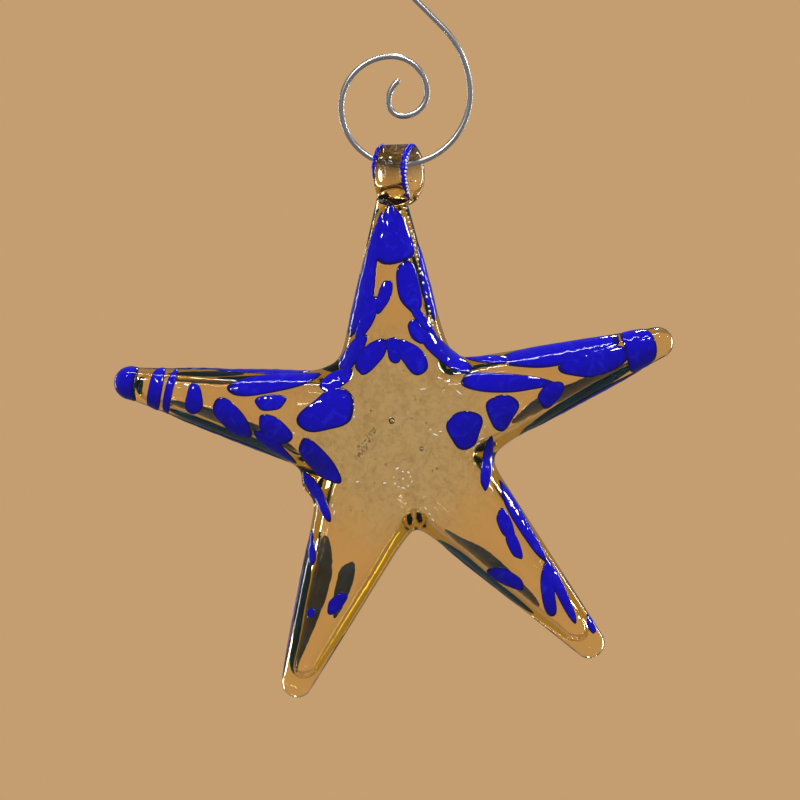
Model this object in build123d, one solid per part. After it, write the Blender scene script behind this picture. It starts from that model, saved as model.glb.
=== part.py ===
from build123d import *
import os

import numpy as np

# A hollow blown glass star hangs by a folded glass loop from a bent wire hook.
# Millimetres. X is to the right, Y runs away from the viewer and Z is up.
# The origin is the highest point inside the hook's crook, where the branch or nail bears.

# Wire hook: a swirl below, a slanting shank and a round crook above
WIRE_DIA = 1.3
CROOK_RADIUS = 10.5
CROOK_TURN = 250.0
SHANK_LEAN = 45.0
SHOULDER_RADIUS = 21.7
BOWL_RADIUS = 16.2
SWIRL_RADII = (13.2, 11.5, 8.1, 5.5, 3.3)
SWIRL_END_RADIUS = 6.2
SWIRL_END_TURN = 48.0

# Hanging loop: a strap of glass folded into a ring, with a flared eye.
# The edge share is how much of the strap's straight side the rounding takes.
EYE_RADIUS = 2.9
STRAP_WIDTH = 8.0
STRAP_THICKNESS = 3.8
EYE_FLARE = 2.4
STRAP_EDGE_SHARE = 0.76
LOOP_YAW = 22.0
WIRE_GAP = 0.2
NECK_OVERLAP = 3.7

# Glass star: five tapering arms round a pillow-shaped middle.
# Each arm is (direction in degrees, length, half width at the root, sideways lean).
ARMS = {
    "top": (91.4, 57.0, 10.7, 0.4),
    "left": (168.6, 65.8, 10.2, 0.0),
    "lower_left": (248.7, 64.0, 10.2, -1.3),
    "lower_right": (311.9, 67.4, 10.0, 0.9),
    "right": (18.9, 66.3, 10.0, 1.2),
}
# The glass webs between the arms are (direction, reach).
WEBS = ((53.5, 21.6), (136.0, 22.0), (208.0, 24.6), (279.6, 18.0), (348.7, 20.6))
ROOT_DISTANCE = 25.0
TIP_RADIUS = 3.6
WEB_HALF = 3.0
BLEND = 4.7
DEPTH_LIMIT = 14.0
WALL = 2.2
SOLID_TIP = 10.0

# Blue glass chips, fused to the skin of the star. The gap is the play left between fused pieces.
CHIP_THICKNESS = 0.4
FUSE_GAP = 0.16
CHIP_CORNER = 0.75

# Each chip is (arm, share of the arm's length at which it lies, angle round the arm from the front,
# half length, half width, turn of its length away from the arm). Angles grow anticlockwise.
CHIPS = {
    "top_blob": ("top", 0.795, -8, 6.4, 3.9, 5),
    "top_left_edge": ("top", 0.640, 64, 11.0, 2.1, -3),
    "top_right_edge": ("top", 0.607, -80, 8.8, 2.1, 5),
    "top_drop": ("top", 0.589, -25, 4.8, 2.4, 16),
    "top_drop_tail": ("top", 0.456, -48, 3.2, 1.2, 14),
    "top_leaf": ("top", 0.568, 14, 3.6, 1.4, -18),
    "top_left_streak": ("top", 0.474, 40, 3.4, 1.2, -12),
    "left_band_outer": ("left", 0.854, 4, 6.8, 1.3, 90),
    "left_band_inner": ("left", 0.809, 4, 6.8, 0.8, 88),
    "left_stripe": ("left", 0.717, 6, 3.6, 1.7, -82),
    "left_ridge": ("left", 0.465, -52, 9.6, 2.5, 19),
    "left_leaf_outer": ("left", 0.584, 21, 4.0, 2.6, -34),
    "left_leaf_upper": ("left", 0.454, -11, 3.2, 1.6, 10),
    "left_leaf_lower": ("left", 0.426, 23, 3.7, 2.2, -22),
    "left_lower_edge": ("left", 0.413, 57, 5.6, 1.7, -28),
    "right_upper_root": ("right", 0.380, 60, 2.9, 1.7, -3),
    "right_upper_edge": ("right", 0.624, 50, 12.4, 2.5, -3),
    "right_blade": ("right", 0.715, 1, 7.8, 1.8, 0),
    "right_band": ("right", 0.893, 10, 5.5, 2.5, 90),
    "right_long_leaf": ("right", 0.413, 20, 8.8, 2.1, -24),
    "right_stub": ("right", 0.540, -27, 2.9, 1.9, 21),
    "right_wedge": ("right", 0.362, -22, 4.6, 2.6, -60),
    "lower_right_leaf": ("lower_right", 0.475, 22, 5.4, 1.6, -23),
    "lower_right_edge": ("lower_right", 0.478, 63, 8.8, 1.6, -10),
    "lower_right_teardrop": ("lower_right", 0.721, 12, 5.8, 1.4, -32),
    "lower_right_streak": ("lower_right", 0.786, 31, 5.0, 1.0, -20),
    "lower_right_under": ("lower_right", 0.589, -42, 4.1, 1.8, 12),
    "lower_right_tip": ("lower_right", 0.902, 52, 2.2, 1.2, -24),
    "lower_left_edge": ("lower_left", 0.484, -58, 3.0, 1.2, 21),
    "lower_left_spot": ("lower_left", 0.691, -26, 1.1, 1.0, 0),
    "lower_left_leaf": ("lower_left", 0.625, 18, 2.8, 1.6, -13),
    "back_neck": ("top", 0.881, 180, 3.4, 1.3, 90),
    "back_top_left": ("top", 0.579, 113, 9.5, 2.0, 3),
    "back_left_ridge": ("left", 0.711, -112, 6.8, 2.0, -4),
    "back_left_under": ("left", 0.610, 102, 11.5, 3.2, 5),
    "back_right_under": ("right", 0.640, -100, 13.0, 3.0, 3),
    "back_lower_right": ("lower_right", 0.559, -114, 11.0, 2.3, -4),
    "back_lower_left": ("lower_left", 0.710, -104, 12.5, 3.4, 2),
    "back_lower_left_inner": ("lower_left", 0.585, 156, 5.8, 2.3, -10),
}
# The chips on the star's middle and crotches are (direction from the star's centre, share of the way
# out to the outline, half length, half width, turn of the length from level), as seen from the front.
BODY_CHIPS = {
    "top_right_shoulder": (81.2, 0.622, 2.3, 1.1, -64),
    "top_left_shoulder": (118.0, 0.828, 3.6, 1.0, 63),
    "bow_left": (109.2, 0.580, 3.7, 2.0, 52),
    "bow_middle": (93.2, 0.336, 2.8, 1.0, -76),
    "bow_right": (77.8, 0.482, 3.3, 1.9, -59),
    "left_body": (164.0, 0.334, 6.2, 3.5, 34),
    "left_body_lower": (196.0, 0.772, 4.8, 2.1, -50),
    "left_crotch_upper": (139.2, 0.840, 3.1, 1.4, 32),
    "left_crotch_lower": (215.4, 0.930, 4.8, 1.0, -60),
    "right_crotch_upper": (57.9, 0.891, 5.2, 1.1, -27),
    "body_round": (5.8, 0.444, 3.4, 3.5, 0),
    "right_crotch_lower": (342.4, 0.880, 5.0, 1.1, -95),
}
# One chip is drawn over the end of an arm as a cap, this many degrees down from the tip.
CAP_ARM = "left"
CAP_ANGLE = 112.0
# Blue streaks drawn out along both edges of the folded strap
STREAK_WIDTH = 1.5
STREAK_START = -15.0
STREAK_TURN = 150.0

# How finely the star's skin is divided
ARM_STEPS = (0.0, 0.02, 0.04, 0.058, 0.073, 0.086, 0.1, 0.12, 0.15, 0.2, 0.27, 0.37, 0.5, 0.63, 0.74,
             0.83, 0.92)
DEPTH_STEPS = (0.0, 0.06, 0.11, 0.16, 0.20, 0.24, 0.29, 0.36, 0.44, 0.53, 0.62, 0.72, 0.81, 0.89, 0.95)
CHIP_STEPS = 11
CAP_STEPS = 23
CHIP_TOLERANCE = 0.002
EYE_STEPS = 81
BISECTIONS = 44
NORMAL_STEP = 0.01
SEARCH_REACH = 1.4 * max(length for _, length, _, _ in ARMS.values())
# Rays out to the skin stop short of the next arm.
SKIN_REACH = 1.5 * DEPTH_LIMIT

WIRE_R = WIRE_DIA / 2
LOOP_OUTER = EYE_RADIUS + STRAP_THICKNESS
FRONT = np.array([0.0, -1.0, 0.0])


def arm_axes(direction):
    """Unit vectors along an arm and to its anticlockwise side, in the star's X-Z plane."""
    angle = np.radians(direction)
    along = np.array([np.cos(angle), 0.0, np.sin(angle)])
    aside = np.array([-np.sin(angle), 0.0, np.cos(angle)])
    return along, aside


def lean_at(distance, lean):
    """Sideways place of an arm's centre line, which bends away up to the arm's root."""
    return lean * np.clip(distance / ROOT_DISTANCE, 0.0, 1.0)


def lobe(x, z, direction, length, root, lean, inset, end_trim):
    """Squared half width of one tapering arm less the squared distance from its centre line."""
    along, aside = arm_axes(direction)
    s = x * along[0] + z * along[2]
    d = x * aside[0] + z * aside[2] - lean_at(s, lean)
    taper = (root - TIP_RADIUS) / (length - TIP_RADIUS - ROOT_DISTANCE)
    end = length - end_trim
    middle = root + taper * ROOT_DISTANCE - inset
    end_radius = middle - taper * end
    shaft = np.where(s < 0, middle**2 - s**2, (middle - taper * s) ** 2)
    return np.where(s < end, shaft, end_radius**2 - (s - end) ** 2) - d**2


def web(x, z, direction, reach):
    """The same measure for one web, a straight lobe with a round end."""
    along, aside = arm_axes(direction)
    s = x * along[0] + z * along[2]
    d = x * aside[0] + z * aside[2]
    past = np.maximum(s - (reach - WEB_HALF), 0.0) + np.minimum(s, 0.0)
    return WEB_HALF**2 - past**2 - d**2


def swell(x, z, inset):
    """Smooth greatest of all lobes: zero on the star's outline, largest in the middle."""
    end_trim = SOLID_TIP if inset > 0 else TIP_RADIUS
    lobes = [lobe(x, z, *arm, inset, end_trim) for arm in ARMS.values()]
    if inset == 0:
        lobes += [web(x, z, *place) for place in WEBS]
    stack = np.array(lobes) / BLEND**2
    top = stack.max(axis=0)
    return BLEND**2 * (top + np.log(np.exp(stack - top).sum(axis=0)))


def outline(level, inset, angles):
    """Points, by polar angle, where the star is `level` above its own outline."""
    along = np.cos(np.radians(angles))
    up = np.sin(np.radians(angles))
    near = np.zeros(len(angles))
    far = np.full(len(angles), SEARCH_REACH)
    for _ in range(BISECTIONS):
        mid = (near + far) / 2
        inside = swell(mid * along, mid * up, inset) > level**2
        near = np.where(inside, mid, near)
        far = np.where(inside, far, mid)
    return np.column_stack([near * along, near * up])


def outline_angles():
    """Polar angles, close together at each arm's end and wider towards the crotches."""
    tips = sorted(a + np.degrees(lean / length) for a, length, _, lean in ARMS.values())
    angles = []
    for tip, following in zip(tips, tips[1:] + [tips[0] + 360.0]):
        half = (following - tip) / 2
        angles += [tip + half * step for step in ARM_STEPS]
        angles.append(tip + half)
        angles += [following - half * step for step in ARM_STEPS[:0:-1]]
    return np.array(angles)


def star_solid(inset):
    """The star's outer form, or its hollow where `inset` is the wall, lofted from back to front."""
    limit = DEPTH_LIMIT - inset
    highest = float(np.sqrt(swell(np.array([0.0]), np.array([0.0]), inset)[0]))
    levels = [highest * step for step in DEPTH_STEPS]
    stations = [(-limit * np.tanh(q / limit), q) for q in levels[:0:-1]]
    stations += [(limit * np.tanh(q / limit), q) for q in levels]
    angles = outline_angles()
    outlines = [outline(q, inset, angles) for _, q in stations]
    chords = [np.hypot(*(np.roll(points, -1, axis=0) - points).T) for points in outlines]
    shares = np.mean([chord / chord.sum() for chord in chords], axis=0)
    knots = np.concatenate([[0.0], np.cumsum(shares)])
    knots = (knots / knots[-1]).tolist()
    wires = []
    for (y, _), points in zip(stations, outlines):
        ring = [Vector(x, y, z) for x, z in points]
        wires.append(Wire([Edge.make_spline(ring, periodic=True, parameters=knots)]))
    return Solid.make_loft(wires)


def skin_height(x, z):
    """Height of the skin above the star's middle plane, flattened off towards the depth limit."""
    return DEPTH_LIMIT * np.tanh(np.sqrt(np.maximum(swell(x, z, 0.0), 0.0)) / DEPTH_LIMIT)


def on_skin(origins, directions):
    """Where rays from inside the glass come out through the star's skin."""
    near = np.zeros(len(origins))
    far = np.full(len(origins), SKIN_REACH)
    for _ in range(BISECTIONS):
        mid = (near + far) / 2
        p = origins + directions * mid[:, None]
        inside = skin_height(p[:, 0], p[:, 2]) > np.abs(p[:, 1])
        near = np.where(inside, mid, near)
        far = np.where(inside, far, mid)
    return origins + directions * near[:, None]


def skin_normals(p):
    """Outward unit normals of the star's skin, from the slope of the swell."""
    x, y, z = p.T
    h = NORMAL_STEP
    slope_x = (swell(x + h, z, 0.0) - swell(x - h, z, 0.0)) / (2 * h)
    slope_z = (swell(x, z + h, 0.0) - swell(x, z - h, 0.0)) / (2 * h)
    level = DEPTH_LIMIT * np.arctanh(y / DEPTH_LIMIT)
    slope_y = -2 * level / (1 - (y / DEPTH_LIMIT) ** 2)
    normals = -np.column_stack([slope_x, slope_y, slope_z])
    return normals / np.linalg.norm(normals, axis=1)[:, None]


def round_square(count):
    """A grid over a square with rounded-off corners, both ways from -1 to 1."""
    steps = np.linspace(-1.0, 1.0, count)
    u, v = np.meshgrid(steps, steps, indexing="ij")
    across = u * np.sqrt(1 - CHIP_CORNER * v**2 / 2)
    upward = v * np.sqrt(1 - CHIP_CORNER * u**2 / 2)
    return across.ravel(), upward.ravel()


def arm_frame(arm):
    direction, length, _, lean = ARMS[arm]
    along, aside = arm_axes(direction)
    return along, aside, length, lean


def chip_points(arm, share, around, half_length, half_width, turn):
    """Points on the skin under one chip, laid along and round its arm."""
    along, aside, length, lean = arm_frame(arm)
    distance = share * length

    def lay(s, angle):
        angle = np.radians(angle)
        origins = np.outer(s, along) + np.outer(lean_at(s, lean), aside)
        directions = np.outer(np.sin(angle), aside) + np.outer(np.cos(angle), FRONT)
        return origins, on_skin(origins, directions)

    origin, middle = lay(np.array([distance]), np.array([float(around)]))
    radius = float(np.linalg.norm(middle - origin))
    u, v = round_square(CHIP_STEPS)
    c, s = np.cos(np.radians(turn)), np.sin(np.radians(turn))
    forward = u * half_length * c - v * half_width * s
    sideways = u * half_length * s + v * half_width * c
    return lay(distance + forward, around + np.degrees(sideways / radius))[1]


def body_chip_points(direction, share, half_length, half_width, turn):
    """Points on the skin under one chip of the star's front, laid straight on."""
    right, up = share * outline(0.0, 0.0, np.array([direction]))[0]
    u, v = round_square(CHIP_STEPS)
    c, s = np.cos(np.radians(turn)), np.sin(np.radians(turn))
    x = right + u * half_length * c - v * half_width * s
    z = up + u * half_length * s + v * half_width * c
    origins = np.column_stack([x, np.zeros(len(x)), z])
    return on_skin(origins, np.tile(FRONT, (len(x), 1)))


def cap_points(arm, cap_angle):
    """Points on the skin under the cap that is drawn over an arm's end."""
    along, aside, length, lean = arm_frame(arm)
    u, v = round_square(CAP_STEPS)
    polar = np.radians(cap_angle) * np.hypot(u, v)
    bearing = np.arctan2(v, u)
    directions = np.outer(np.cos(polar), along)
    directions += np.outer(np.sin(polar) * np.cos(bearing), aside)
    directions += np.outer(np.sin(polar) * np.sin(bearing), FRONT)
    centre = (length - TIP_RADIUS) * along + lean * aside
    return on_skin(np.tile(centre, (len(u), 1)), directions)


def chip_face(points):
    """A smooth face through one chip's square grid of points."""
    count = round(len(points) ** 0.5)
    grid = [[Vector(*p) for p in row] for row in points.reshape(count, count, 3)]
    return Face.make_surface_from_array_of_points(grid, tol=CHIP_TOLERANCE)


def chip_solid(points):
    """A chip of even thickness that lies on the skin."""
    normals = skin_normals(points)
    floor = chip_face(points + FUSE_GAP * normals)
    roof = chip_face(points + (FUSE_GAP + CHIP_THICKNESS) * normals)
    rims = zip(floor.edges(), roof.edges())
    sides = [Face.make_surface_from_curves(low, high) for low, high in rims]
    return Solid(Shell([floor, roof] + sides))


def wire_drop():
    """How far the loop's centre hangs below the wire, so that the bowed wire clears its eye."""
    yaw = np.radians(LOOP_YAW)
    half = STRAP_WIDTH / 2
    x = np.linspace(-half, half, EYE_STEPS)[1:-1] / np.cos(yaw)
    bow = np.where(x < 0, SWIRL_RADII[0], BOWL_RADIUS)
    lift = bow - np.sqrt(bow**2 - x**2)
    axial = x * np.cos(yaw)
    eye = EYE_RADIUS + EYE_FLARE * (1 - np.sqrt(1 - (axial / half) ** 2))
    room = (eye - WIRE_R - WIRE_GAP) ** 2 - (x * np.sin(yaw)) ** 2
    return float((np.sqrt(room) - lift).min())


def hook_line():
    """Centre line of the hook and the height of its crook's inside above the swirl's lowest point."""
    lean = np.radians(SHANK_LEAN)
    shoulder_x = BOWL_RADIUS - SHOULDER_RADIUS * (1 - np.cos(lean))
    shoulder_z = BOWL_RADIUS + SHOULDER_RADIUS * np.sin(lean)
    crook_start_x = -CROOK_RADIUS * np.cos(lean)
    shank = (shoulder_x - crook_start_x) / np.sin(lean)
    crook_z = shoulder_z + shank * np.cos(lean) + CROOK_RADIUS * np.sin(lean)
    path = []
    end, heading = Vector(0, 0), Vector(-1, 0)
    for radius in SWIRL_RADII:
        arc = JernArc(end, heading, radius, -90)
        path.append(arc)
        end, heading = arc @ 1, arc % 1
    path.append(JernArc(end, heading, SWIRL_END_RADIUS, -SWIRL_END_TURN))
    bowl = JernArc((0, 0), (1, 0), BOWL_RADIUS, 90)
    shoulder = JernArc(bowl @ 1, bowl % 1, SHOULDER_RADIUS, SHANK_LEAN)
    straight = Line(shoulder @ 1, shoulder @ 1 + (shoulder % 1) * shank)
    crook = JernArc(straight @ 1, straight % 1, CROOK_RADIUS, -CROOK_TURN)
    path += [bowl, shoulder, straight, crook]
    edges = [edge for piece in path for edge in piece.edges()]
    return Wire(edges), crook_z + CROOK_RADIUS - WIRE_R


def swirl_hook(centre_line, height):
    """The bent wire, stood up in the X-Z plane with its crook's inside top at the origin."""
    upright = Plane(origin=(0, 0, -height), x_dir=(1, 0, 0), z_dir=(0, -1, 0))
    line = upright * centre_line
    section = Plane(origin=line @ 0, z_dir=line % 0) * Circle(WIRE_R)
    return sweep(section, path=line)


def strap_plane(loop_z):
    """Plane through the loop's axis: its X runs along the eye and its Y is up."""
    yaw = np.radians(LOOP_YAW)
    along = (np.cos(yaw), -np.sin(yaw), 0)
    facing = (-np.sin(yaw), -np.cos(yaw), 0)
    return Plane(origin=(0, 0, loop_z), x_dir=along, z_dir=facing)


def strap_section():
    """The strap's section: a flat back with rounded edges and a belly towards the eye."""
    half = STRAP_WIDTH / 2
    spring = EYE_RADIUS + EYE_FLARE
    belly = EllipticalCenterArc((0, spring), half, EYE_FLARE, start_angle=180, arc_size=180)
    sides = Polyline((half, spring), (half, LOOP_OUTER), (-half, LOOP_OUTER), (-half, spring))
    return round_back(make_face(belly.edges() + sides.edges()), LOOP_OUTER, 0.0)


def disc_section(grow):
    """The strap's section filled in down to the loop's axis, `grow` larger all round."""
    half = STRAP_WIDTH / 2 + grow
    back = LOOP_OUTER + grow
    block = make_face(Polyline((-half, 0), (half, 0), (half, back), (-half, back), close=True))
    return round_back(block, back, grow)


def round_back(section, back, grow):
    """Round the two edges at the strap's back."""
    edge = STRAP_EDGE_SHARE * (STRAP_THICKNESS - EYE_FLARE) + grow
    corners = [v for v in section.vertices() if v.Y > back - NORMAL_STEP]
    return fillet(corners, edge)


def turned(section, loop_z, start=0.0, angle=360.0):
    """Turn a section about the loop's axis, starting `start` degrees from straight up."""
    plane = strap_plane(loop_z)
    axis = Axis(plane.origin, plane.x_dir)
    return revolve(plane * section, axis=axis, revolution_arc=angle).rotate(axis, start)


def strap_streak(loop_z, side):
    """One blue streak along an edge of the strap, from its top down its front."""
    skin = disc_section(FUSE_GAP + CHIP_THICKNESS) - disc_section(FUSE_GAP)
    half = STRAP_WIDTH / 2 + FUSE_GAP + CHIP_THICKNESS
    depth = 2 * (STRAP_THICKNESS - EYE_FLARE)
    window = Pos(side * (half - STREAK_WIDTH / 2), LOOP_OUTER) * Rectangle(STREAK_WIDTH, depth)
    return turned(skin & window, loop_z, STREAK_START, STREAK_TURN)


def star_shell(star_z, loop_z):
    """The hollow star, with the end of its top arm shaped to the loop that is fused to it."""
    outer = Pos(0, 0, star_z) * star_solid(0.0)
    hollow = Pos(0, 0, star_z) * star_solid(WALL)
    return outer - turned(disc_section(FUSE_GAP), loop_z) - hollow


def main():
    line, height = hook_line()
    loop_z = -height - wire_drop()
    top_direction, top_length, _, _ = ARMS["top"]
    top_reach = top_length * np.sin(np.radians(top_direction))
    star_z = loop_z - LOOP_OUTER + NECK_OVERLAP - top_reach
    nodes = {
        "swirl_hook": swirl_hook(line, height),
        "hanging_loop": turned(strap_section(), loop_z),
        "star_shell": star_shell(star_z, loop_z),
        "streak_loop_left": strap_streak(loop_z, -1),
        "streak_loop_right": strap_streak(loop_z, 1),
        "chip_left_tip_cap": Pos(0, 0, star_z) * chip_solid(cap_points(CAP_ARM, CAP_ANGLE)),
    }
    for name, place in CHIPS.items():
        nodes["chip_" + name] = Pos(0, 0, star_z) * chip_solid(chip_points(*place))
    for name, place in BODY_CHIPS.items():
        nodes["chip_" + name] = Pos(0, 0, star_z) * chip_solid(body_chip_points(*place))
    os.makedirs("parts", exist_ok=True)
    for name, solid in nodes.items():
        export_step(solid, os.path.join("parts", name + ".step"))
    print("swirl's lowest point", round(-height, 3), "loop", round(loop_z, 3), "star", round(star_z, 3))


if __name__ == "__main__":
    main()
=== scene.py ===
import math

import bpy
import numpy as np
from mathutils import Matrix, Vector


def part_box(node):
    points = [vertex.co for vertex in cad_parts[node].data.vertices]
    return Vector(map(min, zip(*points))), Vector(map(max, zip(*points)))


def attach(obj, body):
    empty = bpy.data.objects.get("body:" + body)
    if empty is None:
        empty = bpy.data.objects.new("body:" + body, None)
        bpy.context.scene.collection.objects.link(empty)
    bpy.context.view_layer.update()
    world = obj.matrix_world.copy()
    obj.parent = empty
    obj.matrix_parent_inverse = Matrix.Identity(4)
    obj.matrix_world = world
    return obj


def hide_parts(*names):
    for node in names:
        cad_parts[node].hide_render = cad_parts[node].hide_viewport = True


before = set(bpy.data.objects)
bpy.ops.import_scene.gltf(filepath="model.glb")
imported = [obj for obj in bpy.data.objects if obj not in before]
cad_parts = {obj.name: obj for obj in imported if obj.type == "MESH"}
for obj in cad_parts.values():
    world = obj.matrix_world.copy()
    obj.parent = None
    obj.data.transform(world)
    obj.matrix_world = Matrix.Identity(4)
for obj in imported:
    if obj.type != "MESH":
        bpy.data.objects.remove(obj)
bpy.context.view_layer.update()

bl_info = {
    "name": "Blown glass star ornament",
    "version": (1, 0, 0),
    "blender": (4, 5, 0),
    "location": "3D View > Sidebar > Ornament",
    "description": "Makes a hollow amber glass star with blue chips, its folded loop and its wire hook",
    "category": "Add Mesh",
}

MM = 0.001

# The star's arms are (direction in degrees, length, half width at the root, sideways lean), in mm.
ARMS = {
    "top": (91.4, 57.0, 10.7, 0.4),
    "left": (168.6, 65.8, 10.2, 0.0),
    "lower_left": (248.7, 64.0, 10.2, -1.3),
    "lower_right": (311.9, 67.4, 10.0, 0.9),
    "right": (18.9, 66.3, 10.0, 1.2),
}
# The webs of glass between the arms are (direction in degrees, reach in mm).
WEBS = ((53.5, 21.6), (136.0, 22.0), (208.0, 24.6), (279.6, 18.0), (348.7, 20.6))
# How far the loop's ring lies into the end of the top arm, in mm
NECK_OVERLAP = 3.7

# Each chip is made of one or more leaf-shaped lobes. A lobe on an arm is (arm, share of its length, angle
# round it from the front, half length, half width, turn from the arm's line, bluntness of the ends, taper,
# bend). A lobe on the middle, as seen from the front, is (direction from the centre, share of the way out
# to the outline, half length, half width, turn from level, bluntness, taper, bend). Lengths are in mm.
CHIPS = {
    "top_blob": (("top", 0.805, -4, 6.8, 4.0, 0, 2.8, -0.28, 0.0),
                 ("top", 0.790, 36, 6.0, 1.9, -6, 2.4, -0.2, 0.0)),
    "top_left_edge": (("top", 0.617, 54, 12.9, 3.0, -5, 2.6, -0.15, 0.0),),
    "top_right_edge": (("top", 0.613, -68, 9.2, 2.5, -4, 2.0, 0.15, 0.0),),
    "top_drop": (("top", 0.591, -27, 6.0, 2.9, 5, 2.6, 0.25, 0.0),),
    "top_drop_tail": (("top", 0.455, -42, 4.2, 1.3, 36, 2.2, 0.2, 0.0),),
    "top_leaf": (("top", 0.560, 16, 4.1, 1.5, -19, 2.2, 0.1, 0.0),),
    "top_left_streak": (("top", 0.474, 40, 5.5, 1.7, -19, 2.4, 0.0, 0.0),),
    "top_right_shoulder": ((80.5, 0.632, 2.9, 1.6, -60, 2.8, 0.0, 0.0),),
    "top_left_shoulder": ((118.8, 0.85, 4.8, 1.9, 55, 2.6, 0.0, -0.05),),
    "bow_left": ((109.2, 0.602, 4.9, 2.3, 49, 2.4, 0.1, 0.0),),
    "bow_middle": ((93.2, 0.347, 3.1, 1.7, -76, 3.0, 0.0, 0.0),),
    "bow_right": ((81.1, 0.472, 4.7, 2.5, -47, 2.6, 0.1, 0.0),),
    "left_band_outer": (("left", 0.854, 4, 6.8, 1.65, 90, 3.2, 0.0, 0.05),),
    "left_band_inner": (("left", 0.806, 4, 6.8, 0.95, 88, 2.8, 0.0, 0.05),),
    "left_stripe": (("left", 0.717, 6, 3.8, 1.9, -82, 3.0, -0.25, 0.0),),
    "left_ridge": (("left", 0.455, -48, 10.6, 3.0, 20, 2.2, 0.3, 0.03),
                   ("left", 0.50, -80, 10.5, 2.2, 3, 2.2, 0.0, 0.0)),
    "left_leaf_outer": (("left", 0.572, 28, 5.6, 2.9, -38, 2.8, 0.2, 0.0),),
    "left_leaf_upper": (("left", 0.455, -14, 3.5, 1.9, 12, 2.6, 0.1, 0.0),),
    "left_leaf_lower": (("left", 0.424, 25, 4.5, 2.4, -25, 2.6, -0.1, 0.0),),
    "left_lower_edge": (("left", 0.411, 54, 6.2, 1.8, -29, 2.0, 0.15, 0.04),),
    "left_body": ((161.0, 0.365, 6.7, 4.1, 28, 3.0, 0.22, 0.0),),
    "left_body_lower": ((196.9, 0.777, 6.4, 2.5, -49, 2.5, -0.05, 0.0),),
    "left_crotch_upper": ((137.7, 0.82, 4.3, 1.9, 31, 2.6, 0.0, 0.0),),
    "left_crotch_lower": ((215.4, 0.935, 6.6, 1.3, -60, 2.4, 0.0, -0.07),),
    "right_crotch_upper": ((62.8, 0.905, 7.8, 2.0, -39, 2.6, 0.1, 0.15),),
    "right_upper_root": (("right", 0.375, 66, 5.0, 1.9, -30, 2.2, 0.0, 0.0),),
    "right_upper_edge": (("right", 0.630, 52, 14.0, 3.9, -3, 3.0, 0.0, 0.0),),
    "right_blade": (("right", 0.715, 6, 8.4, 3.0, -5, 2.8, 0.15, 0.0),),
    "right_band": (("right", 0.878, 8, 6.6, 3.7, 88, 3.4, 0.0, 0.0),),
    "right_long_leaf": (("right", 0.402, 18, 10.2, 2.3, -20, 2.2, -0.05, 0.0),),
    "right_stub": (("right", 0.537, -24, 3.5, 2.3, 25, 3.0, 0.0, 0.0),),
    "right_wedge": ((13.2, 0.488, 4.3, 3.2, 82, 2.6, 0.45, 0.0),),
    "body_round": ((6.4, 0.436, 4.4, 3.9, 92, 2.3, 0.18, 0.0),),
    "right_crotch_lower": ((343.0, 0.900, 6.0, 1.35, -97, 2.2, 0.0, 0.0),),
    "lower_right_leaf": (("lower_right", 0.455, 28, 3.6, 1.7, -19, 2.4, 0.0, 0.0),
                         ("lower_right", 0.525, 17, 3.6, 1.4, -19, 2.4, 0.0, 0.0)),
    "lower_right_edge": (("lower_right", 0.487, 56, 10.8, 2.2, -8, 2.2, 0.0, 0.0),),
    "lower_right_teardrop": (("lower_right", 0.716, 10, 6.2, 1.6, -33, 2.4, 0.35, 0.0),),
    "lower_right_streak": (("lower_right", 0.742, 34, 8.2, 1.5, -15, 2.2, 0.15, 0.0),),
    "lower_right_under": (("lower_right", 0.594, -35, 4.5, 2.0, 18, 2.4, -0.1, 0.0),),
    "lower_right_tip": (("lower_right", 0.902, 52, 2.4, 1.3, -24, 2.0, 0.0, 0.0),),
    "lower_left_edge": (("lower_left", 0.478, -62, 4.2, 1.4, 30, 2.2, 0.2, 0.0),),
    "lower_left_spot": (("lower_left", 0.691, -26, 1.1, 1.0, 0, 2.2, 0.0, 0.0),),
    "lower_left_leaf": (("lower_left", 0.624, 16, 3.0, 1.6, -19, 2.2, 0.2, 0.0),),
    "back_neck": (("top", 0.881, 180, 3.4, 1.3, 90, 2.4, 0.0, 0.0),),
    "back_top_left": (("top", 0.579, 112, 9.8, 2.4, 3, 2.4, 0.0, 0.0),),
    "back_left_ridge": (("left", 0.705, -108, 8.4, 2.5, -3, 2.4, 0.0, 0.0),),
    "back_left_under": (("left", 0.590, 112, 15.0, 5.0, 5, 2.8, 0.0, 0.0),),
    "back_right_under": (("right", 0.640, -110, 16.0, 5.0, 3, 2.8, 0.0, 0.0),),
    "back_lower_right": (("lower_right", 0.553, -118, 14.0, 4.2, -5, 2.6, 0.0, 0.0),),
    "back_lower_left": (("lower_left", 0.690, -120, 17.0, 5.4, 2, 3.0, 0.1, 0.0),),
    "back_lower_left_inner": (("lower_left", 0.585, 158, 6.6, 2.8, -12, 2.4, 0.0, 0.0),),
}
CAP_ARM = "left"

# Air bubbles in the star's front wall: (right of the centre, above it, radius), in mm
SEEDS = ((-1.6, 3.7, 0.75), (5.0, -2.5, 0.5), (-6.2, 6.0, 0.25), (3.6, 8.4, 0.22), (-3.0, -6.0, 0.28),
         (8.5, -7.0, 0.3), (-9.0, -2.0, 0.3), (-7.6, -0.8, 0.22), (-8.2, -3.6, 0.26), (6.0, 3.2, 0.2))
# Specks scattered in the front wall: how many, within what distance of the centre, the least radius and what
# chance adds to it, in mm
SPECKS = (60, 21.0, 0.06, 0.12)
# A smear of specks in the front wall: (right of the centre, above it) at both ends, how many, their spread,
# the least radius and what chance adds to it, in mm
SMEAR = ((-5.2, 2.0), (-9.6, -5.0), 80, 0.45, 0.07, 0.13)
# A thread of white beads drawn down the top arm, painted glints: (share of its length, angle round it) at
# both ends, how many beads, their largest radius in mm and the share of it by which they vary to each side
THREAD = ((0.93, -52.0), (0.44, -55.0), 27, 0.34, 0.28)
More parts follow.
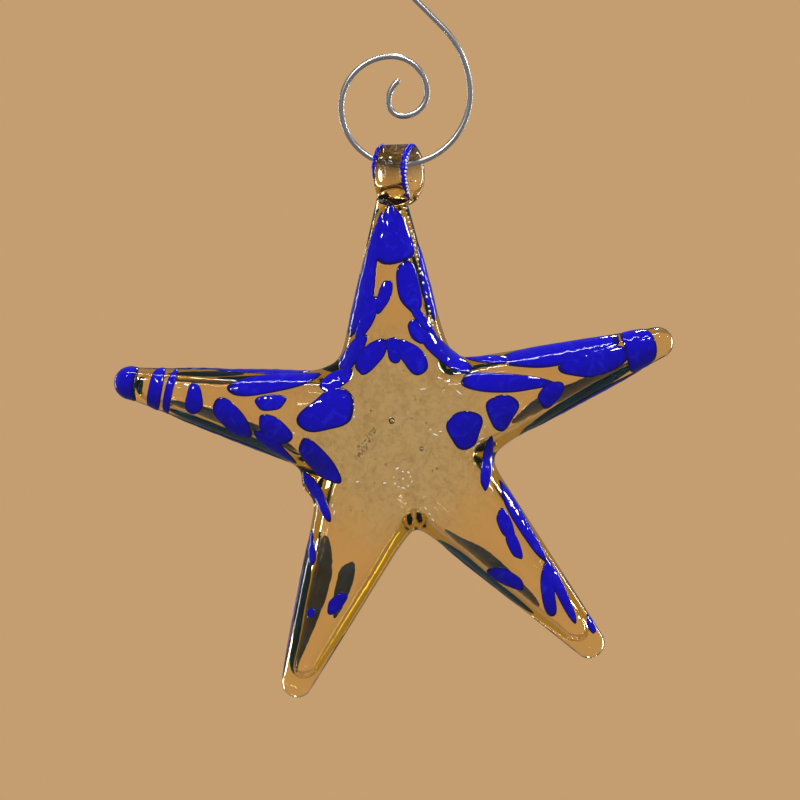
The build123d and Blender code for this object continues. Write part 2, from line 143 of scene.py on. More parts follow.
# Drawn-out white specks at the front skin, painted glints: (right of the centre, above it, half length,
# half width), in mm, and the turn from level in degrees
GLINTS = ((-0.4, -7.0, 0.42, 0.2, 35), (0.9, -7.7, 0.26, 0.14, -20), (2.1, -7.9, 0.34, 0.17, -50),
          (2.6, -8.8, 0.2, 0.12, 80), (2.9, -9.9, 0.3, 0.12, 70), (2.1, -10.9, 0.24, 0.15, 30),
          (1.0, -11.4, 0.42, 0.19, -12), (-0.1, -11.1, 0.22, 0.13, 15), (-0.9, -10.4, 0.3, 0.17, -55),
          (-1.2, -9.0, 0.18, 0.12, 85), (0.9, -9.3, 0.34, 0.12, 60), (-3.2, -10.3, 0.36, 0.2, 10),
          (-1.9, 4.4, 0.2, 0.1, 30), (-10.2, 7.4, 0.3, 0.16, 80), (-10.0, 6.1, 0.24, 0.14, 85),
          (-10.1, 4.6, 0.3, 0.15, 80), (8.2, 0.6, 0.7, 0.14, -20), (9.3, 1.3, 0.4, 0.13, 15),
          (7.0, 1.7, 0.3, 0.1, 60), (5.2, 10.8, 0.9, 0.11, 12), (9.0, 13.4, 0.6, 0.12, -25),
          (10.6, 12.6, 0.4, 0.1, -30), (13.6, 10.0, 1.0, 0.12, -40), (-9.3, -10.0, 0.4, 0.15, 15),
          (18.6, -0.4, 0.8, 0.11, 25), (17.8, -1.5, 0.6, 0.1, 30), (6.0, -16.0, 0.5, 0.14, -55),
          (6.9, -17.3, 0.4, 0.12, -40), (7.6, -18.6, 0.5, 0.13, -50), (-15.0, -15.4, 0.5, 0.16, 70),
          (-14.6, -17.0, 0.6, 0.15, 80))
# Air bubbles in the loop: (degrees from straight up towards the front, place along the eye, radius), in mm,
# and how far they lie outside the middle of the strap
LOOP_SEEDS = ((62, -1.8, 0.3), (70, -0.9, 0.26), (88, -1.4, 0.34), (84, 1.6, 0.22), (102, 1.5, 0.28),
              (120, -0.4, 0.24), (250, 1.0, 0.3), (290, -1.6, 0.3))
LOOP_SEED_RISE = 0.6
# The round scar that the glassblower's rod left: its place from the star's centre, in mm
SCAR_PLACE = (0.9, -11.3, -9.3)

# The streaks along the loop's edges: (side of the loop, first and last angle from straight up, in degrees),
# the lean of their section and half its height in mm
STREAKS = {"left": (-1, -15.0, 104.0), "right": (1, -15.0, 150.0)}
STREAK_LEAN = math.radians(45)
STREAK_RISE = 0.45
# Waves in a streak's thickness: (radians over its length, share of the thickness)
STREAK_WAVES = ((34, 0.12), (97, 0.14))
# The swirl's arcs from the wire's lowest point inwards: (radius in mm, turn in degrees)
SWIRL = ((13.2, -90.0), (11.5, -90.0), (8.1, -90.0), (5.5, -90.0), (3.3, -90.0), (6.2, -48.0))

# Waves of the hand-blown skin: (across, up, phase, share of the depth)
RIPPLES = ((0.33, 0.21, 1.0, 0.006), (-0.27, 0.45, 2.1, 0.005), (0.61, -0.15, 0.4, 0.004))
HOLLOW_RIPPLES = ((0.41, 0.17, 0.3, 0.014), (-0.22, 0.36, 1.7, 0.012), (0.55, -0.38, 2.6, 0.008))
# Waves of a chip's outline: (how many round it, share of its size)
CHIP_WOBBLE = ((2, 0.03), (3, 0.05), (5, 0.03))
# Waves of the cap's edge: one round it and three round it, as shares of its reach
CAP_WOBBLE = (0.05, 0.03)
# Power of the cosine that rounds off a chip's top: the lower, the flatter
CHIP_FULLNESS = 0.7
# Share of the strap's half width that is rounded off at the neck
NECK_ROUNDING = 0.95

# Lamps: (right of the star's centre, behind it, above it, width, height), in metres, their power in watts
# and their colour
LAMPS = {
    "front left lamp": (-0.36, -0.70, 0.62, 0.10, 0.10, 2.6, "#ffffff"),
    "front right lamp": (0.30, -0.62, 0.74, 0.10, 0.10, 2.6, "#ffffff"),
    "overhead strip": (-0.10, -0.24, 0.92, 0.60, 0.04, 2.2, "#ffffff"),
    "right lamp": (0.85, 0.12, 0.50, 0.12, 0.12, 2.2, "#ffffff"),
    "back lamp": (0.10, 0.55, 0.80, 0.12, 0.12, 2.0, "#ffffff"),
    "left rim strip": (-0.70, 0.55, 0.05, 0.08, 0.50, 0.9, "#ffffff"),
    "right rim strip": (0.70, 0.55, 0.05, 0.08, 0.50, 1.6, "#ffffff"),
    "low back card": (0.487, 0.652, -0.408, 0.13, 0.06, 0.030, "#ffe23c"),
}
# How far the camera stands to the right of the star's centre and above it, in mm
CAMERA_OFFSET = (0.23, 8.4)
FLOOR_RADIUS = 1.1

ANGLE_STEPS = 46
SKIN_ROWS = 93
HOLLOW_ROWS = 61
CHIP_ROWS = 25
CHIP_COLUMNS = 44
BALL_ROWS = 9
BALL_COLUMNS = 12
LOOP_STEPS = 180
BELLY_STEPS = 40
STREAK_STEPS = 150
# The steps along the right streak at which a white bead lies, a painted glint, the step of its section that
# the beads lie at, the radius of the smallest and the growth to each of the next two, in mm
BEAD_STEPS = range(60, STREAK_STEPS - 6, 7)
BEAD_SIDE = 4
BEAD_RADIUS = 0.2
BEAD_GROWTH = 0.05
SECTION_STEPS = 24
CAP_STEPS = 7
ARC_STEPS = 60
FLOOR_STEPS = 96
BISECTIONS = 44
# Share of the steps' spacing that grows evenly from the arms' tips to the crotches
TIP_BUNCHING = 0.75
# The search for the outline starts at this many times the longest arm.
OUTLINE_REACH = 1.4
# Rays out to the skin stop at this many depth limits, short of the next arm.
SKIN_REACH = 1.5
# Share of the depth limit past which the skin's slope is no longer worked out
DEEPEST = 0.999
NORMAL_STEP = 0.01
# Gap between the top arm's end and the loop, and how far a chip's edge lies under the skin, in mm
SEAT_GAP = 0.02
CHIP_BED = 0.03
FRONT = np.array([0.0, -1.0, 0.0])
UP = np.array([0.0, 0.0, 1.0])


def to_linear(hex_text):
    """Linear red, green, blue and alpha of an sRGB hex colour."""
    srgb = np.array([int(hex_text[i:i + 2], 16) for i in (1, 3, 5)]) / 255
    linear = np.where(srgb <= 0.04045, srgb / 12.92, ((srgb + 0.055) / 1.055) ** 2.4)
    return (*linear.tolist(), 1.0)


def length(name, description, millimetres):
    """A length property whose default is given in millimetres."""
    return bpy.props.FloatProperty(name=name, description=description, default=millimetres * MM,
                                   unit="LENGTH", precision=5)


def colour(name, description, hex_text):
    """A colour property whose default is given as sRGB hex."""
    return bpy.props.FloatVectorProperty(name=name, description=description, subtype="COLOR", size=4,
                                         min=0.0, max=1.0, default=to_linear(hex_text))


def turning(name, description, degrees):
    """An angle property whose default is given in degrees."""
    return bpy.props.FloatProperty(name=name, description=description, default=math.radians(degrees),
                                   subtype="ANGLE", unit="ROTATION")


class StarSettings(bpy.types.PropertyGroup):
    root_distance: length("Root distance", "How far from the centre each arm's root is measured", 25.0)
    tip_radius: length("Tip radius", "Radius of each arm's rounded end", 3.6)
    web_half: length("Web half width", "Half width of the glass webs between the arms", 3.0)
    blend: length("Blend", "How softly arms and webs run into each other", 4.7)
    depth_limit: length("Depth limit", "Depth that the middle flattens off towards", 14.0)
    wall: length("Wall", "Thickness of the blown wall", 2.2)
    solid_tip: length("Solid tip", "Length at each arm's end where the hollow starts to close", 10.0)
    hollow_draw: bpy.props.FloatProperty(name="Hollow draw", default=2.0, min=1.0,
                                         description="How far the hollow's ends are drawn out, in radii")
    scar_radius: length("Scar radius", "Radius of the round scar left by the glassblower's rod", 2.2)
    tint: colour("Arm tint", "Colour that the skin of the arms gives to what shows through it", "#fff7e6")
    pale_tint: colour("Middle tint", "Colour that the skin of the middle gives", "#f7fcff")
    smudge: colour("Smudges", "Colour of the cloudy marks in the middle", "#cfcac6")
    depth_colour: colour("Depth colour", "Colour that deep glass tends to", "#f1da30")
    # Painted highlight: the white of the specks and beads that stand in for glints
    glint_white: colour("Glint white", "Colour of the white specks that stand in for glints", "#ffffff")
    density: bpy.props.FloatProperty(name="Density", description="How fast the glass takes its depth colour",
                                     default=100.0, min=0.0)


class ChipSettings(bpy.types.PropertyGroup):
    rise: length("Rise", "How far a chip stands proud of the skin", 0.42)
    dimple: length("Dimples", "Height of the waves on a chip's skin", 0.05)
    dimple_spacing: length("Dimple spacing", "Distance from one wave on a chip to the next", 2.6)
    sink: length("Sink", "How far a chip reaches into the skin", 0.3)
    cap_angle: turning("Cap angle", "How far the cap reaches down from the tip", 108)
    streak_width: length("Streak width", "Width of the streaks along the loop's edges", 1.5)
    body: colour("Body", "Colour of the chips", "#0e02b8")
    light: colour("Light", "Colour of the paler swirls in the chips", "#1f24de")
    edge: colour("Edge", "Colour that the chips darken to towards their rims", "#080344")
    # Painted light: a paler blue that stands in for light shining through the chips from behind
    fused: colour("Fused side", "Colour of the chips' undersides, seen through the amber", "#2a78f0")


class LoopSettings(bpy.types.PropertyGroup):
    eye_radius: length("Eye radius", "Smallest radius of the eye", 2.9)
    strap_width: length("Strap width", "Width of the folded strap", 8.0)
    strap_thickness: length("Strap thickness", "Thickness of the strap at its middle", 3.8)
    eye_flare: length("Eye flare", "How far the eye widens towards its rims", 2.4)
    edge_radius: length("Edge radius", "Rounding of the strap's outer edges", 1.1)
    neck_drop: length("Neck drop", "How far below the eye's line the strap ends on the neck", 7.5)
    neck_half: length("Neck half depth", "Half the strap's depth where it ends on the neck", 4.2)
    # The loop's top is blue-grey: partly the blue drawn thin, partly a painted dark reflection
    thin_blue_and_dark_reflection: colour("Thin blue, dark reflection", "Colour of the blue that is drawn out thin in the loop", "#93a3d0")
    deep_blue_and_dark_reflection: colour("Deep blue, dark reflection", "Colour of that blue where it is thicker", "#33427c")
    neck_soften: length("Neck rounding", "How deep the strap's edges are rounded at the neck", 2.0)
    yaw: turning("Yaw", "How far the eye is turned from the viewer's right", 22)


class HookSettings(bpy.types.PropertyGroup):
    wire_diameter: length("Wire diameter", "Thickness of the wire", 1.3)
    crook_radius: length("Crook radius", "Radius of the crook's centre line", 10.5)
    shoulder_radius: length("Shoulder radius", "Radius between the swirl and the shank", 21.7)
    bowl_radius: length("Bowl radius", "Radius of the swirl's right half", 16.2)
    crook_turn: turning("Crook turn", "How far round the crook goes", 250)
    shank_lean: turning("Shank lean", "Lean of the straight shank", 45)
    steel: colour("Steel", "Colour of the bright wire", "#ececf0")


class StageSettings(bpy.types.PropertyGroup):
    view_distance: length("View distance", "Camera's distance from the star", 700.0)
    view_width: length("View width", "Width of the picture at the star", 182.4)
    floor_drop: length("Floor drop", "Depth of the floor below the star's centre", 620.0)
    backdrop: colour("Backdrop", "Colour behind the ornament", "#c49e70")
    light: colour("Light", "Colour of the light from all round", "#fffbf7")
    mirrored: colour("Mirrored", "Colour that smooth surfaces mirror", "#fff9f1")
    glow: colour("Glow", "Colour that the glass throws back from its inside", "#e2ae38")
    floor: colour("Floor", "Colour of the floor", "#b89468")
    lamp_level: bpy.props.FloatProperty(name="Lamp level", default=1.0, subtype="FACTOR", min=0.0, max=2.0,
                                        description="Share of the lamps' power that is used")


def add_node(tree, kind, settings=(), inputs=(), links=()):
    """Add a node, set its properties and input values, and link its inputs from other nodes' sockets."""
    node = tree.nodes.new(kind)
    for name, value in dict(settings).items():
        setattr(node, name, value)
    for name, value in dict(inputs).items():
        node.inputs[name].default_value = value
    for name, socket in dict(links).items():
        tree.links.new(socket, node.inputs[name])
    return node


def new_material(name):
    """An empty node material."""
    material = bpy.data.materials.new(name)
    material.use_nodes = True
    material.node_tree.nodes.clear()
    return material, material.node_tree


def pole_rows(grid):
    """A grid's values in one list, with the first and the last row, at the poles, taken only once each."""
    return np.vstack([grid[0, :1], grid[1:-1].reshape(-1, grid.shape[-1]), grid[-1, :1]])


def closed_shell(grid, inward=False):
    """Points and faces of a closed form. The grid's rows run from one pole to the other and its columns
    run round, so that the first and the last row are single points. Faces look outwards, or inwards."""
    rows, columns = grid.shape[:2]
    points = pole_rows(grid)
    ring = np.arange(columns)
    following = np.roll(ring, -1)
    row = 1 + columns * np.arange(rows - 3)[:, None]
    below = row + columns
    quads = np.stack([row + ring, row + following, below + following, below + ring], axis=-1)
    last = 1 + columns * (rows - 3)
    near = np.column_stack([np.zeros_like(ring), 1 + following, 1 + ring])
    far = np.column_stack([np.full_like(ring, len(points) - 1), last + ring, last + following])
    return points, turn_out(points, [near, quads.reshape(-1, 4), far], inward)


def turn_out(points, groups, inward):
    """Turn all faces so that the volume they close is positive, or negative for a hollow."""
    volume = sum(np.einsum("ij,ij->i", points[f[:, 0]], np.cross(points[f[:, i]], points[f[:, i + 1]])).sum()
                 for f in groups for i in range(1, f.shape[1] - 1))
    return [f[:, ::-1] for f in groups] if (volume < 0) != inward else groups


def closed_ring(grid):
    """Points and faces of a ring: the grid runs round in both directions."""
    rows, columns = grid.shape[:2]
    points = grid.reshape(-1, 3)
    r, c = np.meshgrid(np.arange(rows), np.arange(columns), indexing="ij")
    n, m = (r + 1) % rows, (c + 1) % columns
    quads = np.stack([r * columns + c, r * columns + m, n * columns + m, n * columns + c], axis=-1)
    return points, turn_out(points, [quads.reshape(-1, 4)], False)


def add_piece(name, shells, material, body, nodes, corner=(0.0, 0.0, 0.0), uv=None):
    """Make one mesh of several closed shells, in mm from `corner`, and ride it on its body."""
    points = np.vstack([p for p, _ in shells]) + np.array(corner)
    faces = []
    start = 0
    for p, groups in shells:
        for group in groups:
            faces += (group + start).tolist()
        start += len(p)
    mesh = bpy.data.meshes.new(name)
    mesh.from_pydata((points * MM).tolist(), [], faces)
    if uv is not None:
        index = np.empty(len(mesh.loops), dtype=np.int32)
        mesh.loops.foreach_get("vertex_index", index)
        mesh.uv_layers.new(name="UVMap").data.foreach_set("uv", uv[index].astype(np.float32).ravel())
    mesh.shade_smooth()
    mesh.materials.append(material)
    piece = bpy.data.objects.new(name, mesh)
    bpy.context.scene.collection.objects.link(piece)
    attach(piece, body)
    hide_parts(*nodes)
    return piece


def second_material(piece, material, first):
    """Give a piece a second material, on its faces from the number `first` on."""
    piece.data.materials.append(material)
    slots = (np.arange(len(piece.data.polygons)) >= first).astype(np.int32)
    piece.data.polygons.foreach_set("material_index", slots)


def star_places():
    """Heights of the loop's centre and of the star's centre, in mm, from the frame and the arm's reach."""
    low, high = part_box("hanging_loop")
    loop_z = (low.z + high.z) / 2 / MM
    loop_radius = (high.z - low.z) / 2 / MM
    direction, reach, _, _ = ARMS["top"]
    return loop_z, loop_z - loop_radius + NECK_OVERLAP - reach * math.sin(math.radians(direction))


class StarForm:
    """The star's skin. A squared half width falls off to each side of every arm and web, and their smooth
    maximum is the swell. The outline is where the swell is zero, and the depth is its square root,
    flattened off by a hyperbolic tangent."""

    def __init__(self, settings, inset=0.0):
        self.root, self.tip, self.web_half, self.blend, self.limit, self.end_trim = (
            value / MM for value in (settings.root_distance, settings.tip_radius, settings.web_half,
                                     settings.blend, settings.depth_limit - inset, settings.solid_tip))
        self.inset = inset / MM
        self.draw = settings.hollow_draw if inset > 0 else 1.0
        self.reach = OUTLINE_REACH * max(arm[1] for arm in ARMS.values())

    def lean(self, s, lean):
        """Sideways lean of an arm's middle line, which grows evenly out to the root and then stays."""
        return lean * np.clip(s / self.root, 0.0, 1.0)

    def arm(self, x, z, direction, reach, root, lean):
        """Squared half width of an arm less the squared distance from its middle line. The half width
        narrows evenly, and both ends are rounded off."""
        angle = math.radians(direction)
        s = x * math.cos(angle) + z * math.sin(angle)
        d = z * math.cos(angle) - x * math.sin(angle) - self.lean(s, lean)
        taper = (root - self.tip) / (reach - self.tip - self.root)
        end = reach - (self.end_trim if self.inset > 0 else self.tip)
        middle = root + taper * self.root - self.inset
        shaft = np.where(s < 0, middle**2 - s**2, (middle - taper * s) ** 2)
        return np.where(s < end, shaft, (middle - taper * end) ** 2 - ((s - end) / self.draw) ** 2) - d**2

    def web(self, x, z, direction, reach):
        """The same for a web, whose half width is even."""
        angle = math.radians(direction)
        s = x * math.cos(angle) + z * math.sin(angle)
        d = z * math.cos(angle) - x * math.sin(angle)
        past = np.maximum(s - (reach - self.web_half), 0.0) + np.minimum(s, 0.0)
        return self.web_half**2 - past**2 - d**2

    def swell(self, x, z):
        """Smooth maximum of the arms and webs: the log of the sum of their exponentials. The hollow has
        no webs."""
        lobes = [self.arm(x, z, *arm) for arm in ARMS.values()]
        if self.inset == 0:
            lobes += [self.web(x, z, *web) for web in WEBS]
        stack = np.array(lobes) / self.blend**2
        top = stack.max(axis=0)
        return self.blend**2 * (top + np.log(np.exp(stack - top).sum(axis=0)))

    def depth(self, x, z):
        """Half the depth: the flattened root of the swell, with the low waves of hand-blown glass."""
        ripples = HOLLOW_RIPPLES if self.inset > 0 else RIPPLES
        wave = 1 + sum(share * np.sin(a * x + b * z + phase) for a, b, phase, share in ripples)
        return self.limit * np.tanh(np.sqrt(np.maximum(self.swell(x, z), 0.0)) / self.limit) * wave

    def outline(self, angles):
        """Distance out to the outline by polar angle, found by halving."""
        near = np.zeros_like(angles)
        far = np.full_like(angles, self.reach)
        for _ in range(BISECTIONS):
            mid = (near + far) / 2
            inside = self.swell(mid * np.cos(angles), mid * np.sin(angles)) > 0
            near, far = np.where(inside, mid, near), np.where(inside, far, mid)
        return near

    def on_skin(self, origins, directions):
        """Where rays from inside the glass come out through the skin, found by halving."""
        near = np.zeros(len(origins))
        far = np.full(len(origins), SKIN_REACH * self.limit)
        for _ in range(BISECTIONS):
            mid = (near + far) / 2
            p = origins + directions * mid[:, None]
            inside = self.depth(p[:, 0], p[:, 2]) > np.abs(p[:, 1])
            near, far = np.where(inside, mid, near), np.where(inside, far, mid)
        return origins + directions * near[:, None]

    def normals(self, p):
        """Outward unit normals, from the slope of the swell."""
        x, y, z = p.T
        h = NORMAL_STEP
        share = np.clip(y / self.limit, -DEEPEST, DEEPEST)
        level = self.limit * np.arctanh(share)
        slope = np.column_stack([
            (self.swell(x + h, z) - self.swell(x - h, z)) / (2 * h),
            -2 * level / (1 - share**2),
            (self.swell(x, z + h) - self.swell(x, z - h)) / (2 * h)])
        return -slope / np.linalg.norm(slope, axis=1)[:, None]

    def grid(self, rows):
        """The skin as a grid: polar angle round the star, and rows from the front's middle over the
        outline to the back's middle. The share of the way out is the sine of the row's own angle."""
        tips = np.sort([math.radians(a) + lean / reach for a, reach, _, lean in ARMS.values()])
        gaps = np.diff(np.append(tips, tips[0] + 2 * math.pi)) / 2
        t = np.linspace(0.0, 1.0, ANGLE_STEPS + 1)
        offset = (1 - TIP_BUNCHING) * t + TIP_BUNCHING * t**2
        there = tips[:, None] + gaps[:, None] * offset[:-1]
        back = tips[:, None] + gaps[:, None] * (2 - offset[:0:-1])
        angles = np.hstack([there, back]).ravel()
        row = np.linspace(0.0, math.pi, rows)[:, None]
        out = np.sin(row) * self.outline(angles)
        x, z = out * np.cos(angles), out * np.sin(angles)
        side = -np.sign(np.round(np.cos(row), 9))
        return np.stack([x, side * self.depth(x, z), z], axis=-1)


def loop_axes(settings):
    """The eye's line and the direction in which the strap faces, as unit vectors."""
    along = np.array([math.cos(settings.yaw), -math.sin(settings.yaw), 0.0])
    facing = np.array([-math.sin(settings.yaw), -math.cos(settings.yaw), 0.0])
    return along, facing


def spokes(turn, facing):
    """Unit vectors out from the eye's line, by angle from straight up towards the side that it faces."""
    return np.cos(turn)[..., None] * UP + np.sin(turn)[..., None] * facing


def strap_skin(settings, aside, turn):
    """How far the strap's outside lies from the eye's line, by the place along the eye and the angle from
    straight up. It is round, and its front runs off straight into the neck, with softer edges there."""
    outer, half, edge, drop, foot, soften = (value / MM for value in (
        settings.eye_radius + settings.strap_thickness, settings.strap_width / 2, settings.edge_radius,
        settings.neck_drop, settings.neck_half, settings.neck_soften))
    past_down = np.mod(turn, 2 * math.pi) - math.pi
    down = np.abs(past_down)
    corner = math.atan2(foot, drop)
    tangent = corner + math.acos(outer / math.hypot(foot, drop))
    line = outer / np.cos(np.clip(tangent - down, 0.0, tangent - corner))
    front = np.where(down > corner, line, drop / np.cos(np.minimum(down, corner)))
    share = np.clip((tangent - down) / (tangent - corner), 0.0, 1.0)
    share = share**2 * (3 - 2 * share)
    fade = np.clip(1 - down / tangent, 0.0, 1.0)
    back = outer + (drop - outer) * fade**2 * (3 - 2 * fade)
    reach = np.where(past_down < 0, front, back)
    width = edge + share * (NECK_ROUNDING * half - edge)
    past = np.clip((np.abs(aside) - half + width) / width, 0.0, 1.0)
    return reach - (edge + share * (soften - edge)) * (1 - np.sqrt(1 - past**2))


def seat_on_loop(points, settings, rise):
    """Push the end of the top arm out of the loop: points nearer to the eye's line than the strap's
    outside move straight away from that line, down to it."""
    along, facing = loop_axes(settings)
    centre = np.array([0.0, 0.0, rise])
    aside = (points - centre) @ along
    from_line = points - centre - np.outer(aside, along)
    distance = np.linalg.norm(from_line, axis=1)
    turn = np.arctan2(from_line @ facing, from_line[:, 2])
    seat = strap_skin(settings, aside, turn) + SEAT_GAP
    push = np.where(distance < seat, seat / np.maximum(distance, 0.1) - 1, 0.0)
    return points + from_line * push[:, None]


def glint(skin, x, z, half_length, half_width, turn):
    """A white speck drawn out at the front skin, a painted glint: a sphere stretched along its own length
    and turned.
    """
    c, s = math.cos(math.radians(turn)), math.sin(math.radians(turn))
    stretch = np.array([[half_length * c, 0.0, half_length * s], [0.0, half_width, 0.0],
                        [-half_width * s, 0.0, half_width * c]])
    y = -skin.depth(np.array([x]), np.array([z]))[0]
    return np.array([x, y, z]) + ball((0.0, 0.0, 0.0), 1.0) @ stretch


def ball(centre, radius):
    """A small sphere as a grid of latitude and longitude."""
    row = np.linspace(0.0, math.pi, BALL_ROWS)[:, None]
    column = np.linspace(0.0, 2 * math.pi, BALL_COLUMNS, endpoint=False)
    rise = np.cos(row) * np.ones_like(column)
    grid = np.stack([np.sin(row) * np.cos(column), np.sin(row) * np.sin(column), rise], axis=-1)
    return np.asarray(centre) + radius * grid


def amber_glass(name, settings, centre, fade, pale, cloud, cloudy):
    """Soda-lime glass, blown and fire polished: clear amber, deeper where it is thick, with faint cords
    that bend what shows through it. It takes two other colours, mixed by clouds, at one place, fading out
    between two distances in mm: pale in the star's middle, and at the loop's top a blue-grey that is partly
    the blue drawn thin and partly painted dark reflection. The rod's scar is a ring of fine marks."""
    material, tree = new_material(name)
    place = add_node(tree, "ShaderNodeTexCoord")
    reach = add_node(tree, "ShaderNodeVectorMath", {"operation": "DISTANCE"}, {1: centre},
                     {0: place.outputs["Object"]})
    paling = add_node(tree, "ShaderNodeMapRange", {"interpolation_type": "SMOOTHSTEP"},
                      {"From Min": fade[0] * MM, "From Max": fade[1] * MM},
                      {"Value": reach.outputs["Value"]})
    clouds = add_node(tree, "ShaderNodeTexNoise", {},
                      {"Scale": 1 / (2.4 * MM), "Detail": 5.0, "Distortion": 1.3},
                      {"Vector": place.outputs["Object"]})
    smudged = add_node(tree, "ShaderNodeMapRange", {}, {"From Min": cloudy[0], "From Max": cloudy[1]},
                       {"Value": clouds.outputs["Fac"]})
    middle = add_node(tree, "ShaderNodeMix", {"data_type": "RGBA"}, {6: pale, 7: cloud},
                      {"Factor": smudged.outputs["Result"]})
    tint = add_node(tree, "ShaderNodeMix", {"data_type": "RGBA"}, {7: settings.tint},
                    {"Factor": paling.outputs["Result"], 6: middle.outputs[2]})
    cords = add_node(tree, "ShaderNodeTexNoise", {},
                     {"Scale": 1 / (7 * MM), "Detail": 2.0, "Distortion": 0.6},
                     {"Vector": place.outputs["Object"]})
    haze = add_node(tree, "ShaderNodeMapRange", {},
                    {"From Min": 0.4, "From Max": 0.75, "To Min": 0.0, "To Max": 0.06},
                    {"Value": cords.outputs["Fac"]})
    marks = add_node(tree, "ShaderNodeTexNoise", {},
                     {"Scale": 1 / (1.1 * MM), "Detail": 4.0, "Distortion": 1.0},
                     {"Vector": place.outputs["Object"]})
    from_scar = add_node(tree, "ShaderNodeVectorMath", {"operation": "DISTANCE"},
                         {1: [c + MM * offset for c, offset in zip(centre, SCAR_PLACE)]},
                         {0: place.outputs["Object"]})
    off_ring = add_node(tree, "ShaderNodeMath", {"operation": "COMPARE"},
                        {1: settings.scar_radius, 2: 0.6 * MM}, {0: from_scar.outputs["Value"]})
    roughened = add_node(tree, "ShaderNodeMath", {"operation": "MULTIPLY_ADD"}, {1: 0.9, 2: 0.06},
                         {0: off_ring.outputs["Value"]})
    fine = add_node(tree, "ShaderNodeMath", {"operation": "MULTIPLY"}, {},
                    {0: marks.outputs["Fac"], 1: roughened.outputs["Value"]})
    relief = add_node(tree, "ShaderNodeMath", {"operation": "ADD"}, {},
                      {0: cords.outputs["Fac"], 1: fine.outputs["Value"]})
    bump = add_node(tree, "ShaderNodeBump", {}, {"Strength": 0.4, "Distance": 0.3 * MM},
                    {"Height": relief.outputs["Value"]})
    glass = add_node(tree, "ShaderNodeBsdfPrincipled", {},
                     {"IOR": 1.5, "Transmission Weight": 1.0},
                     {"Base Color": tint.outputs[2], "Roughness": haze.outputs["Result"],
                      "Normal": bump.outputs["Normal"]})
    depth = add_node(tree, "ShaderNodeVolumeAbsorption", {},
                     {"Color": settings.depth_colour, "Density": settings.density})
    add_node(tree, "ShaderNodeOutputMaterial", {}, {},
             {"Surface": glass.outputs["BSDF"], "Volume": depth.outputs["Volume"]})
    return material


def painted_glints(settings):
    """White drops at the skin, painted highlights: a glossy white that stands in for the lamps' glints on
    bubbles and ridges, so that they look bright under any lamp."""
    material, tree = new_material("white specks, painted glints")
    place = add_node(tree, "ShaderNodeTexCoord")
    mottle = add_node(tree, "ShaderNodeTexNoise", {}, {"Scale": 1 / (0.5 * MM), "Detail": 2.0},
                      {"Vector": place.outputs["Object"]})
    gloss = add_node(tree, "ShaderNodeMapRange", {}, {"To Min": 0.04, "To Max": 0.14},
                     {"Value": mottle.outputs["Fac"]})
    # The white base colour is a painted highlight: it stands in for glints.
    silver = add_node(tree, "ShaderNodeBsdfPrincipled", {}, {"Base Color": settings.glint_white, "IOR": 1.5},
                      {"Roughness": gloss.outputs["Result"]})
    add_node(tree, "ShaderNodeOutputMaterial", {}, {}, {"Surface": silver.outputs["BSDF"]})
    return material


def chip_glass(settings):
    """Cobalt glass frit, melted into the skin: a deep glossy blue with paler swirls, darker towards each
    chip's rim."""
    material, tree = new_material("cobalt glass frit, fire polished")
    place = add_node(tree, "ShaderNodeTexCoord")
    swirl = add_node(tree, "ShaderNodeTexNoise", {},
                     {"Scale": 1 / (3.2 * MM), "Detail": 3.0, "Distortion": 1.4},
                     {"Vector": place.outputs["Object"]})
    pale = add_node(tree, "ShaderNodeMapRange", {}, {"From Min": 0.54, "From Max": 0.85},
                    {"Value": swirl.outputs["Fac"]})
    body = add_node(tree, "ShaderNodeMix", {"data_type": "RGBA"}, {6: settings.body, 7: settings.light},
                    {"Factor": pale.outputs["Result"]})
    from_middle = add_node(tree, "ShaderNodeVectorMath", {"operation": "DISTANCE"}, {1: (0.5, 0.5, 0.0)},
                           {0: place.outputs["UV"]})
    rim = add_node(tree, "ShaderNodeMapRange", {"interpolation_type": "SMOOTHSTEP"},
                   {"From Min": 0.40, "From Max": 0.5}, {"Value": from_middle.outputs["Value"]})
    edged = add_node(tree, "ShaderNodeMix", {"data_type": "RGBA"}, {7: settings.edge},
                     {"Factor": rim.outputs["Result"], 6: body.outputs[2]})
    ripple = add_node(tree, "ShaderNodeTexNoise", {}, {"Scale": 1 / (1.6 * MM), "Detail": 2.0},
                      {"Vector": place.outputs["Object"]})
    bump = add_node(tree, "ShaderNodeBump", {}, {"Strength": 0.3, "Distance": 0.25 * MM},
                    {"Height": ripple.outputs["Fac"]})
    glass = add_node(tree, "ShaderNodeBsdfPrincipled", {},
                     {"IOR": 1.5, "Roughness": 0.05},
                     {"Base Color": edged.outputs[2], "Normal": bump.outputs["Normal"]})
    add_node(tree, "ShaderNodeOutputMaterial", {}, {}, {"Surface": glass.outputs["BSDF"]})
    return material


def fused_side(settings):
    """The undersides of the chips, wetted by the amber glass: no surface shows there, so nothing glints,
    and the blue looks dark and greenish through the amber. It is a paler, greener blue than the chips' top,
    painted light that stands in for the light shining through the chips from behind."""
    material, tree = new_material("cobalt glass frit, fused side, painted backlight")
    place = add_node(tree, "ShaderNodeTexCoord")
    cloud = add_node(tree, "ShaderNodeTexNoise", {}, {"Scale": 1 / (4 * MM), "Detail": 3.0},
                     {"Vector": place.outputs["Object"]})
    part = add_node(tree, "ShaderNodeMapRange", {}, {"From Min": 0.35, "From Max": 0.75, "To Max": 0.55},
                    {"Value": cloud.outputs["Fac"]})
    # The fused colour is painted light: a paler blue for light shining through the chips from behind.
    blue = add_node(tree, "ShaderNodeMix", {"data_type": "RGBA"}, {6: settings.fused, 7: settings.edge},
                    {"Factor": part.outputs["Result"]})
    glass = add_node(tree, "ShaderNodeBsdfPrincipled", {}, {"Roughness": 0.9, "Specular IOR Level": 0.0},
                     {"Base Color": blue.outputs[2]})
    add_node(tree, "ShaderNodeOutputMaterial", {}, {}, {"Surface": glass.outputs["BSDF"]})
    return material


